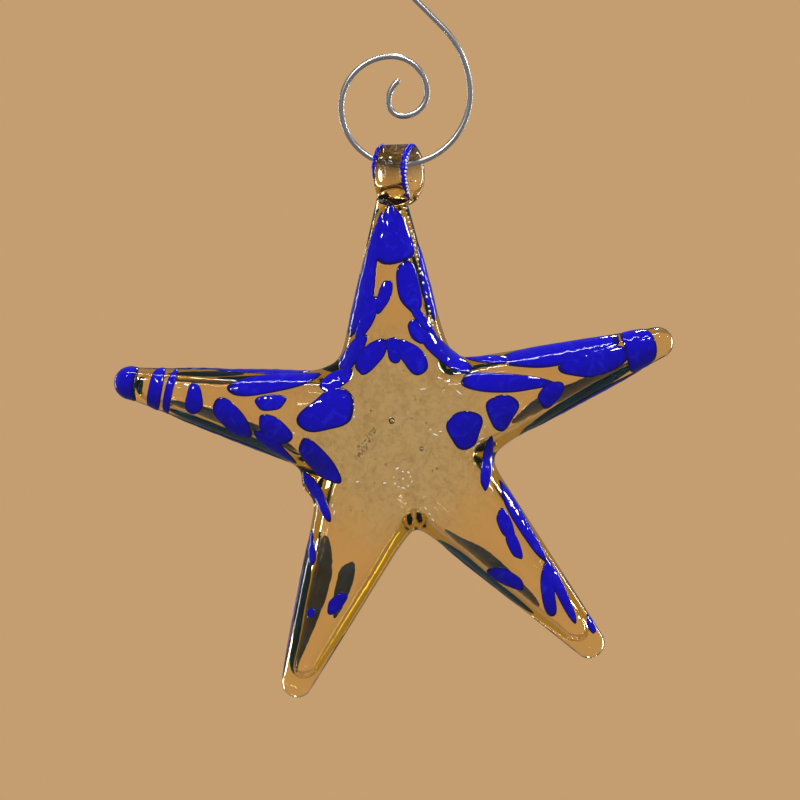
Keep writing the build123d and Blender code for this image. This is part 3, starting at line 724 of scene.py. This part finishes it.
def bright_wire(settings):
    """Mild steel wire, drawn and bent by hand: bright, with fine lines drawn along it that stretch the
    highlights across."""
    material, tree = new_material("steel wire, bright drawn")
    place = add_node(tree, "ShaderNodeTexCoord")
    # Lines a ninth of the wire's radius apart and 20 mm long: coarser than real ones, so that they show
    drawn = add_node(tree, "ShaderNodeMapping", {}, {"Scale": (9.0, 1 / 20, 1.0)},
                     {"Vector": place.outputs["UV"]})
    lines = add_node(tree, "ShaderNodeTexNoise", {}, {"Scale": 1.0, "Detail": 3.0},
                     {"Vector": drawn.outputs["Vector"]})
    grey = add_node(tree, "ShaderNodeMix", {"data_type": "RGBA"},
                    {6: settings.steel, 7: [0.72 * c for c in settings.steel[:3]] + [1.0]},
                    {"Factor": lines.outputs["Fac"]})
    gloss = add_node(tree, "ShaderNodeMapRange", {}, {"To Min": 0.16, "To Max": 0.4},
                     {"Value": lines.outputs["Fac"]})
    bump = add_node(tree, "ShaderNodeBump", {}, {"Strength": 0.15, "Distance": 0.02 * MM},
                    {"Height": lines.outputs["Fac"]})
    steel = add_node(tree, "ShaderNodeBsdfPrincipled", {}, {"Metallic": 1.0},
                     {"Base Color": grey.outputs[2], "Roughness": gloss.outputs["Result"],
                      "Normal": bump.outputs["Normal"]})
    add_node(tree, "ShaderNodeOutputMaterial", {}, {}, {"Surface": steel.outputs["BSDF"]})
    return material


def specks():
    """Places and radii of fine specks: an even scatter over the middle, and one smear."""
    chance = np.random.default_rng(7)
    count, reach, least, more = SPECKS
    out, angle = reach * np.sqrt(chance.random(count)), 2 * math.pi * chance.random(count)
    scatter = np.column_stack([out * np.cos(angle), out * np.sin(angle), least + more * chance.random(count)])
    *ends, number, spread, least, more = SMEAR
    start, end = np.array(ends)
    along = chance.random(number)[:, None]
    smear = start + along * (end - start) + chance.normal(0.0, spread, (number, 2))
    return np.vstack([scatter, np.column_stack([smear, least + more * chance.random(number)])]).tolist()


def arm_axes(arm):
    """An arm's length and lean, and the unit vectors along it and to its side."""
    direction, reach, _, lean = ARMS[arm]
    angle = math.radians(direction)
    axis = np.array([math.cos(angle), 0.0, math.sin(angle)])
    aside = np.array([-math.sin(angle), 0.0, math.cos(angle)])
    return reach, lean, axis, aside


def round_arm(skin, arm, s, bearing):
    """Points on an arm's middle line at the distances `s`, the directions out from there by angle from the
    front, and where these come out through the skin."""
    _, lean, axis, aside = arm_axes(arm)
    origins = np.outer(s, axis) + np.outer(skin.lean(s, lean), aside)
    rays = np.outer(np.sin(bearing), aside) + np.outer(np.cos(bearing), FRONT)
    return origins, rays, skin.on_skin(origins, rays)


def thread_places(skin):
    """Places and radii of the beads drawn down the top arm, evenly from one end to the other. The middle
    of each lies half its radius outside the skin."""
    (share, around), (last_share, last_around), count, radius, vary = THREAD
    t = np.linspace(0.0, 1.0, count)
    s = ARMS["top"][1] * (share + t * (last_share - share))
    _, rays, places = round_arm(skin, "top", s, np.radians(around + t * (last_around - around)))
    radii = radius * (1 - vary + vary * np.sin(2.3 * np.arange(count)))
    return zip(places + radii[:, None] / 2 * rays, radii)


class ORNAMENT_OT_star(bpy.types.Operator):
    """Blow the hollow amber star"""
    bl_idname = "ornament.star"
    bl_label = "Star"

    def execute(self, context):
        settings = context.scene.ornament_star
        loop_z, star_z = star_places()
        skin, hollow = StarForm(settings), StarForm(settings, settings.wall)
        points, faces = closed_shell(skin.grid(SKIN_ROWS))
        points = seat_on_loop(points, context.scene.ornament_loop, loop_z - star_z)
        shells = [(points, faces), closed_shell(hollow.grid(HOLLOW_ROWS), inward=True)]
        for x, z, radius in (*SEEDS, *specks()):
            y = -skin.depth(np.array([x]), np.array([z]))[0] + 0.5 * settings.wall / MM
            shells.append(closed_shell(ball((x, y, z), radius), inward=True))
        clear = sum(len(group) for _, groups in shells for group in groups)
        # White beads and specks stand on the skin in the second material, as painted highlights.
        shells += [closed_shell(ball(place, radius)) for place, radius in thread_places(skin)]
        shells += [closed_shell(glint(skin, *place)) for place in GLINTS]
        glass = amber_glass("amber glass, blown and fire polished", settings, (0.0, 0.0, star_z * MM),
                            (12.0, 34.0), settings.pale_tint, settings.smudge, (0.5, 0.8))
        star = add_piece("amber_star", shells, glass, "star", ["star_shell"],
                         (0.0, 0.0, star_z))
        second_material(star, painted_glints(settings), clear)
        return {"FINISHED"}


class ORNAMENT_OT_loop(bpy.types.Operator):
    """Fold the glass strap into the hanging loop"""
    bl_idname = "ornament.loop"
    bl_label = "Hanging loop"

    def execute(self, context):
        settings = context.scene.ornament_loop
        loop_z, _ = star_places()
        along, facing = loop_axes(settings)
        turn = np.linspace(0.0, 2 * math.pi, LOOP_STEPS, endpoint=False)[:, None]
        axial, radial = strap_section(settings, turn)
        grid = axial[..., None] * along + radial[..., None] * spokes(turn, facing)
        shells = [closed_ring(grid)]
        rise = (settings.eye_radius + settings.strap_thickness / 2) / MM + LOOP_SEED_RISE
        for degrees, aside, radius in LOOP_SEEDS:
            centre = aside * along + rise * spokes(np.radians(degrees), facing)
            shells.append(closed_shell(ball(centre, radius), inward=True))
        # The loop's top takes the two blues within 4 mm, fading out by 11 mm: partly the blue drawn thin,
        # partly painted dark reflection.
        glass = amber_glass("amber glass, folded hot", context.scene.ornament_star,
                            (0.0, 0.0, loop_z * MM + settings.eye_radius + settings.strap_thickness),
                            (4.0, 11.0), settings.thin_blue_and_dark_reflection, settings.deep_blue_and_dark_reflection, (0.45, 0.6))
        add_piece("folded_loop", shells, glass, "star", ["hanging_loop"], (0.0, 0.0, loop_z))
        return {"FINISHED"}


def strap_section(settings, turn):
    """The strap's section by angle from straight up, closed: distances along the eye and out from its
    line. A half ellipse bulges towards the eye, and the other half is the strap's outside."""
    half = settings.strap_width / 2 / MM
    flare = settings.eye_flare / MM
    belly = np.linspace(math.pi, 2 * math.pi, BELLY_STEPS)
    back = np.linspace(0.0, math.pi, BELLY_STEPS + 2)[1:-1]
    ones = np.ones_like(turn)
    aside = half * np.cos(back) * ones
    inside = settings.eye_radius / MM + flare * (1 + np.sin(belly))
    return (np.hstack([half * np.cos(belly) * ones, aside]),
            np.hstack([inside * ones, strap_skin(settings, aside, turn)]))


class ORNAMENT_OT_chips(bpy.types.Operator):
    """Melt the blue chips into the star's skin"""
    bl_idname = "ornament.chips"
    bl_label = "Blue chips"

    def execute(self, context):
        settings = context.scene.ornament_chips
        skin = StarForm(context.scene.ornament_star)
        corner = (0.0, 0.0, star_places()[1])
        glass, under = chip_glass(settings), fused_side(settings)
        half = CHIP_COLUMNS * (CHIP_ROWS - 1) // 2
        side = np.repeat([0, 1], half).astype(np.int32)
        # Rows run from the middle of a chip's top over its edge to the middle of its underside.
        row = np.linspace(0.0, math.pi, CHIP_ROWS)[:, None]
        column = np.linspace(0.0, 2 * math.pi, CHIP_COLUMNS, endpoint=False)
        out = np.sin(row)
        lift = np.where(np.cos(row) > 0, settings.rise * np.abs(np.cos(row)) ** CHIP_FULLNESS,
                        settings.sink * np.cos(row)) / MM - CHIP_BED
        disc = 0.5 + 0.499 * np.stack([out * np.cos(column), out * np.sin(column)], axis=-1)
        uv = pole_rows(disc)
        chips = {name: [(arm_chip if place[0] in ARMS else body_chip, place) for place in lobes]
                 for name, lobes in CHIPS.items()}
        chips["left_tip_cap"] = [(cap_chip, (CAP_ARM, settings.cap_angle))]
        for number, (name, lobes) in enumerate(chips.items()):
            shells = []
            for lay, place in lobes:
                points = lay(skin, out, column, number, *place)
                wave = dimples(points, number, settings).reshape(CHIP_ROWS, CHIP_COLUMNS)
                height = lift + np.maximum(np.cos(row), 0.0) * wave
                points = points + height.reshape(-1, 1) * skin.normals(points)
                shells.append(closed_shell(points.reshape(CHIP_ROWS, CHIP_COLUMNS, 3)))
            piece = add_piece("blue_" + name, shells, glass, "star", ["chip_" + name], corner,
                              np.tile(uv, (len(lobes), 1)))
            piece.data.materials.append(under)
            piece.data.polygons.foreach_set("material_index", np.tile(side, len(lobes)))
        return {"FINISHED"}


def dimples(points, number, settings):
    """Low waves on a chip's skin: half the sum of four sines that run in different directions."""
    x, _, z = 2 * math.pi * MM / settings.dimple_spacing * points.T
    waves = sum(np.sin(math.cos(a) * x + math.sin(a) * z + number * a) for a in (0.4, 1.7, 2.6, 3.9))
    return settings.dimple / MM * waves / 2


def chip_outline(out, column, number, half_length, half_width, blunt, taper, bend):
    """Places inside a chip's outline, along and across it. The half width is the root of one less a power
    of the place along the chip, tapered to one end, and the middle line is bent to a parabola."""
    wobble = 1 + sum(share * np.sin(n * column + 2.4 * number * n) for n, share in CHIP_WOBBLE)
    x = np.cos(column)
    y = np.sign(np.sin(column)) * np.sqrt(np.maximum(1 - np.abs(x) ** blunt, 0.0)) * (1 + taper * x)
    along = out * x * wobble
    across = out * y * wobble
    return half_length * along, half_width * across + half_length * bend * (along**2 - 0.33)


def turned(along, across, turn):
    """Turn a chip's own directions to those of what it lies on."""
    c, s = math.cos(math.radians(turn)), math.sin(math.radians(turn))
    return (along * c - across * s).ravel(), (along * s + across * c).ravel()


def arm_chip(skin, out, column, number, arm, share, around, half_length, half_width, turn, *form):
    """Points on the skin under a chip that is laid along and round its arm."""
    s = share * ARMS[arm][1]
    bearing = math.radians(around)
    origin, _, middle = round_arm(skin, arm, np.array([s]), np.array([bearing]))
    radius = np.linalg.norm(middle - origin)
    forward, sideways = turned(*chip_outline(out, column, number, half_length, half_width, *form), turn)
    return round_arm(skin, arm, s + forward, bearing + sideways / radius)[2]


def body_chip(skin, out, column, number, direction, share, half_length, half_width, turn, *form):
    """Points on the front skin under a chip of the star's middle, laid straight on."""
    angle = np.array([math.radians(direction)])
    reach = share * skin.outline(angle)
    right, above = turned(*chip_outline(out, column, number, half_length, half_width, *form), turn)
    x, z = right + reach * np.cos(angle), above + reach * np.sin(angle)
    return skin.on_skin(np.column_stack([x, np.zeros(x.size), z]), np.tile(FRONT, (x.size, 1)))


def cap_chip(skin, out, column, number, arm, cap_angle):
    """Points on the skin under the cap over an arm's end, by angle from the arm's tip and round it."""
    reach, lean, axis, aside = arm_axes(arm)
    once, thrice = CAP_WOBBLE
    polar = (cap_angle * (1 + once * np.cos(column) + thrice * np.sin(3 * column)) * out).ravel()
    bearing = (column * np.ones_like(out)).ravel()
    rays = np.outer(np.cos(polar), axis) + np.outer(np.sin(polar) * np.cos(bearing), aside)
    rays += np.outer(np.sin(polar) * np.sin(bearing), FRONT)
    centre = (reach - skin.tip) * axis + lean * aside
    return skin.on_skin(np.tile(centre, (len(rays), 1)), rays)


class ORNAMENT_OT_streaks(bpy.types.Operator):
    """Draw the blue streaks along the loop's edges"""
    bl_idname = "ornament.streaks"
    bl_label = "Loop streaks"

    def execute(self, context):
        settings = context.scene.ornament_loop
        width = context.scene.ornament_chips.streak_width / MM
        loop_z, _ = star_places()
        along, facing = loop_axes(settings)
        half = settings.strap_width / 2 / MM
        edge = settings.edge_radius / MM
        glass = bpy.data.materials["cobalt glass frit, fire polished"]
        glint_white = bpy.data.materials["white specks, painted glints"]
        sine, cosine = math.sin(STREAK_LEAN), math.cos(STREAK_LEAN)
        middle = half - edge + edge * sine
        t = np.linspace(0.0, 1.0, STREAK_STEPS)[:, None]
        # The section is an ellipse that leans over the strap's edge. It is carried round the eye and swells
        # from nothing at both ends, by the root of a sine.
        waves = sum((share * np.sin(n * t) for n, share in STREAK_WAVES), 1.0)
        swell = np.sqrt(np.sin(math.pi * t)) * waves
        section = np.linspace(0.0, 2 * math.pi, SECTION_STEPS, endpoint=False)
        across = np.cos(section) * width / 2 * swell
        out = np.sin(section) * STREAK_RISE * swell
        for name, (side, start, end) in STREAKS.items():
            turn = np.radians(start + (end - start) * t)
            axial = side * (middle + across * cosine + out * sine)
            radial = strap_skin(settings, middle, turn) - across * sine + out * cosine
            grid = axial[..., None] * along + radial[..., None] * spokes(turn, facing)
            shells = [closed_shell(grid)]
            blue = sum(len(group) for group in shells[0][1])
            # The beads along the right streak are white painted glints.
            if side > 0:
                shells += [closed_shell(ball(grid[i, BEAD_SIDE], BEAD_RADIUS + BEAD_GROWTH * (i % 3)))
                           for i in BEAD_STEPS]
            uv = np.full((sum(len(points) for points, _ in shells), 2), 0.5)
            piece = add_piece("blue_streak_" + name, shells, glass, "star", ["streak_loop_" + name],
                              (0.0, 0.0, loop_z), uv)
            second_material(piece, glint_white, blue)
        return {"FINISHED"}


class ORNAMENT_OT_hook(bpy.types.Operator):
    """Bend the wire swirl hook"""
    bl_idname = "ornament.hook"
    bl_label = "Wire hook"

    def execute(self, context):
        settings = context.scene.ornament_hook
        line, heading = hook_line(settings)
        radius = settings.wire_diameter / 2 / MM
        # A circle is carried along the centre line, and each end is closed by half a sphere.
        quarter = np.linspace(0.0, math.pi / 2, CAP_STEPS + 1)
        opening, closing = quarter[:-1], quarter[1:]
        start = line[:1] - radius * np.cos(opening)[:, None] * heading[:1]
        end = line[-1:] + radius * np.sin(closing)[:, None] * heading[-1:]
        path = np.vstack([start, line, end])
        ahead = np.vstack([np.repeat(heading[:1], CAP_STEPS, 0), heading,
                           np.repeat(heading[-1:], CAP_STEPS, 0)])
        girth = radius * np.concatenate([np.sin(opening), np.ones(len(line)), np.cos(closing)])
        around = np.linspace(0.0, 2 * math.pi, SECTION_STEPS, endpoint=False)
        beside = np.column_stack([-ahead[:, 1], ahead[:, 0]])
        flat = path[:, None, :] + girth[:, None, None] * np.cos(around)[None, :, None] * beside[:, None, :]
        grid = np.stack([flat[..., 0], girth[:, None] * np.sin(around), flat[..., 1]], axis=-1)
        along = np.concatenate([[0.0], np.cumsum(np.linalg.norm(np.diff(path, axis=0), axis=1))])
        lines = np.stack(np.broadcast_arrays(np.cos(around)[None, :], along[:, None]), axis=-1)
        add_piece("hook_wire", [closed_shell(grid)], bright_wire(settings), "hook", ["swirl_hook"],
                  uv=pole_rows(lines))
        return {"FINISHED"}


def hook_line(settings):
    """Centre line of the wire in the X-Z plane and its heading, in mm from the crook's inside top: arcs of
    given radius and turn, and one straight shank, joined end to end."""
    bowl, shoulder, crook, wire = (size / MM for size in (
        settings.bowl_radius, settings.shoulder_radius, settings.crook_radius, settings.wire_diameter))
    lean = settings.shank_lean
    shank = (bowl - shoulder * (1 - math.cos(lean)) + crook * math.cos(lean)) / math.sin(lean)
    top = bowl + shoulder * math.sin(lean) + shank * math.cos(lean) + crook * math.sin(lean)
    inside_top = top + crook - wire / 2
    left, left_heading = arc_chain(SWIRL, math.pi)
    turns = ((bowl, 90.0), (shoulder, math.degrees(lean)), (None, shank),
             (crook, -math.degrees(settings.crook_turn)))
    right, right_heading = arc_chain(turns, 0.0)
    line = np.vstack([left[:0:-1], right])
    heading = np.vstack([-left_heading[:0:-1], right_heading])
    return line - np.array([0.0, inside_top]), heading


def arc_chain(pieces, bearing):
    """Points and headings along arcs (radius, turn in degrees) and straight runs (None, length)."""
    points = [np.zeros((1, 2))]
    headings = [np.array([[math.cos(bearing), math.sin(bearing)]])]
    at = np.zeros(2)
    steps = np.linspace(0.0, 1.0, ARC_STEPS + 1)[1:]
    for radius, amount in pieces:
        if radius is None:
            direction = np.array([math.cos(bearing), math.sin(bearing)])
            run = at + amount * steps[:, None] * direction
            heading = np.repeat(direction[None], len(steps), 0)
        else:
            turn = math.radians(amount)
            side = math.copysign(1.0, turn)
            angles = bearing + turn * steps
            centre = at + side * radius * np.array([-math.sin(bearing), math.cos(bearing)])
            run = centre + side * radius * np.column_stack([np.sin(angles), -np.cos(angles)])
            heading = np.column_stack([np.cos(angles), np.sin(angles)])
            bearing += turn
        points.append(run)
        headings.append(heading)
        at = run[-1]
    return np.vstack(points), np.vstack(headings)


class ORNAMENT_OT_stage(bpy.types.Operator):
    """Set up the floor, the lamps, the backdrop and the camera"""
    bl_idname = "ornament.stage"
    bl_label = "Stage"

    def execute(self, context):
        settings = context.scene.ornament_stage
        star_z = star_places()[1] * MM
        floor_piece(settings, star_z)
        backdrop(context.scene, settings)
        for name, (*place, width, height, power, hue) in LAMPS.items():
            lamp(name, place, star_z, width, height, power * settings.lamp_level, to_linear(hue)[:3])
        camera = bpy.data.objects.new("camera", bpy.data.cameras.new("camera"))
        context.scene.collection.objects.link(camera)
        right, above = CAMERA_OFFSET
        camera.location = (right * MM, -settings.view_distance, star_z + above * MM)
        camera.rotation_euler = (math.pi / 2, 0.0, 0.0)
        camera.data.lens = camera.data.sensor_width * settings.view_distance / settings.view_width
        context.scene.camera = camera
        context.scene.view_settings.view_transform = "Standard"
        return {"FINISHED"}


def floor_piece(settings, star_z):
    """A round, flat floor below the ornament."""
    material, tree = new_material("plaster floor, matt painted")
    place = add_node(tree, "ShaderNodeTexCoord")
    mottle = add_node(tree, "ShaderNodeTexNoise", {}, {"Scale": 1 / (60 * MM), "Detail": 4.0},
                      {"Vector": place.outputs["Object"]})
    paint = add_node(tree, "ShaderNodeMix", {"data_type": "RGBA"},
                     {6: settings.floor, 7: [0.94 * c for c in settings.floor[:3]] + [1.0]},
                     {"Factor": mottle.outputs["Fac"]})
    matt = add_node(tree, "ShaderNodeBsdfPrincipled", {}, {"Roughness": 0.8},
                    {"Base Color": paint.outputs[2]})
    add_node(tree, "ShaderNodeOutputMaterial", {}, {}, {"Surface": matt.outputs["BSDF"]})
    angle = np.linspace(0.0, 2 * math.pi, FLOOR_STEPS, endpoint=False)
    rim = FLOOR_RADIUS * np.column_stack([np.cos(angle), np.sin(angle)])
    points = np.column_stack([rim, np.full(len(angle), star_z - settings.floor_drop)])
    mesh = bpy.data.meshes.new("floor")
    mesh.from_pydata(points.tolist(), [], [list(range(len(angle)))])
    mesh.materials.append(material)
    floor = bpy.data.objects.new("floor", mesh)
    bpy.context.scene.collection.objects.link(floor)
    floor.visible_glossy = False


def backdrop(scene, settings):
    """A tan surround: seen as it is written, by the eye and straight through the glass, golden where the
    glass throws it back from its inside, and dim in reflections, which keeps the blue deep."""
    world = bpy.data.worlds.new("backdrop")
    world.use_nodes = True
    tree = world.node_tree
    tree.nodes.clear()
    rays = add_node(tree, "ShaderNodeLightPath")
    straight = add_node(tree, "ShaderNodeMath", {"operation": "LESS_THAN"}, {1: 0.5},
                        {0: rays.outputs["Glossy Depth"]})
    through = add_node(tree, "ShaderNodeMath", {"operation": "MULTIPLY"}, {},
                       {0: rays.outputs["Is Transmission Ray"], 1: straight.outputs["Value"]})
    seen = add_node(tree, "ShaderNodeMath", {"operation": "MAXIMUM"}, {},
                    {0: rays.outputs["Is Camera Ray"], 1: through.outputs["Value"]})
    light = add_node(tree, "ShaderNodeBackground", {}, {"Color": settings.light, "Strength": 0.45})
    mirrored = add_node(tree, "ShaderNodeBackground", {}, {"Color": settings.mirrored, "Strength": 0.17})
    inside = add_node(tree, "ShaderNodeBackground", {}, {"Color": settings.glow, "Strength": 0.5})
    shown = add_node(tree, "ShaderNodeBackground", {}, {"Color": settings.backdrop, "Strength": 1.0})
    glossy = add_node(tree, "ShaderNodeMixShader", {}, {},
                      {0: rays.outputs["Is Glossy Ray"], 1: light.outputs["Background"],
                       2: mirrored.outputs["Background"]})
    unseen = add_node(tree, "ShaderNodeMixShader", {}, {},
                      {0: rays.outputs["Is Transmission Ray"], 1: glossy.outputs["Shader"],
                       2: inside.outputs["Background"]})
    mixed = add_node(tree, "ShaderNodeMixShader", {}, {},
                     {0: seen.outputs["Value"], 1: unseen.outputs["Shader"],
                      2: shown.outputs["Background"]})
    add_node(tree, "ShaderNodeOutputWorld", {}, {}, {"Surface": mixed.outputs["Shader"]})
    scene.world = world


def lamp(name, place, star_z, width, height, power, hue):
    """A rectangular lamp, placed from the star's centre and turned to face it. The camera doesn't see it."""
    data = bpy.data.lights.new(name, "AREA")
    data.shape = "RECTANGLE"
    data.size, data.size_y = width, height
    data.energy = power
    data.color = hue
    light = bpy.data.objects.new(name, data)
    bpy.context.scene.collection.objects.link(light)
    light.location = (place[0], place[1], place[2] + star_z)
    back = light.location - Vector((0.0, 0.0, star_z))
    light.rotation_euler = back.to_track_quat("Z", "Y").to_euler()
    light.visible_camera = False


class ORNAMENT_PT_panel(bpy.types.Panel):
    """Lists the ornament's pieces and their settings"""
    bl_idname = "ORNAMENT_PT_panel"
    bl_label = "Glass star ornament"
    bl_space_type = "VIEW_3D"
    bl_region_type = "UI"
    bl_category = "Ornament"

    def draw(self, context):
        for operator in OPERATORS:
            self.layout.operator(operator.bl_idname)
        for group, kind in GROUPS.items():
            box = self.layout.box()
            for name in kind.__annotations__:
                box.prop(getattr(context.scene, group), name)


GROUPS = {
    "ornament_star": StarSettings,
    "ornament_chips": ChipSettings,
    "ornament_loop": LoopSettings,
    "ornament_hook": HookSettings,
    "ornament_stage": StageSettings,
}
OPERATORS = (ORNAMENT_OT_star, ORNAMENT_OT_loop, ORNAMENT_OT_chips, ORNAMENT_OT_streaks, ORNAMENT_OT_hook,
             ORNAMENT_OT_stage)


def register():
    for kind in (*GROUPS.values(), *OPERATORS, ORNAMENT_PT_panel):
        bpy.utils.register_class(kind)
    for name, kind in GROUPS.items():
        setattr(bpy.types.Scene, name, bpy.props.PointerProperty(type=kind))


def unregister():
    for name in GROUPS:
        delattr(bpy.types.Scene, name)
    for kind in (ORNAMENT_PT_panel, *reversed(OPERATORS), *GROUPS.values()):
        bpy.utils.unregister_class(kind)


def main():
    register()
    bpy.ops.ornament.star()
    bpy.ops.ornament.loop()
    bpy.ops.ornament.chips()
    bpy.ops.ornament.streaks()
    bpy.ops.ornament.hook()
    bpy.ops.ornament.stage()


if __name__ == "__main__":
    main()
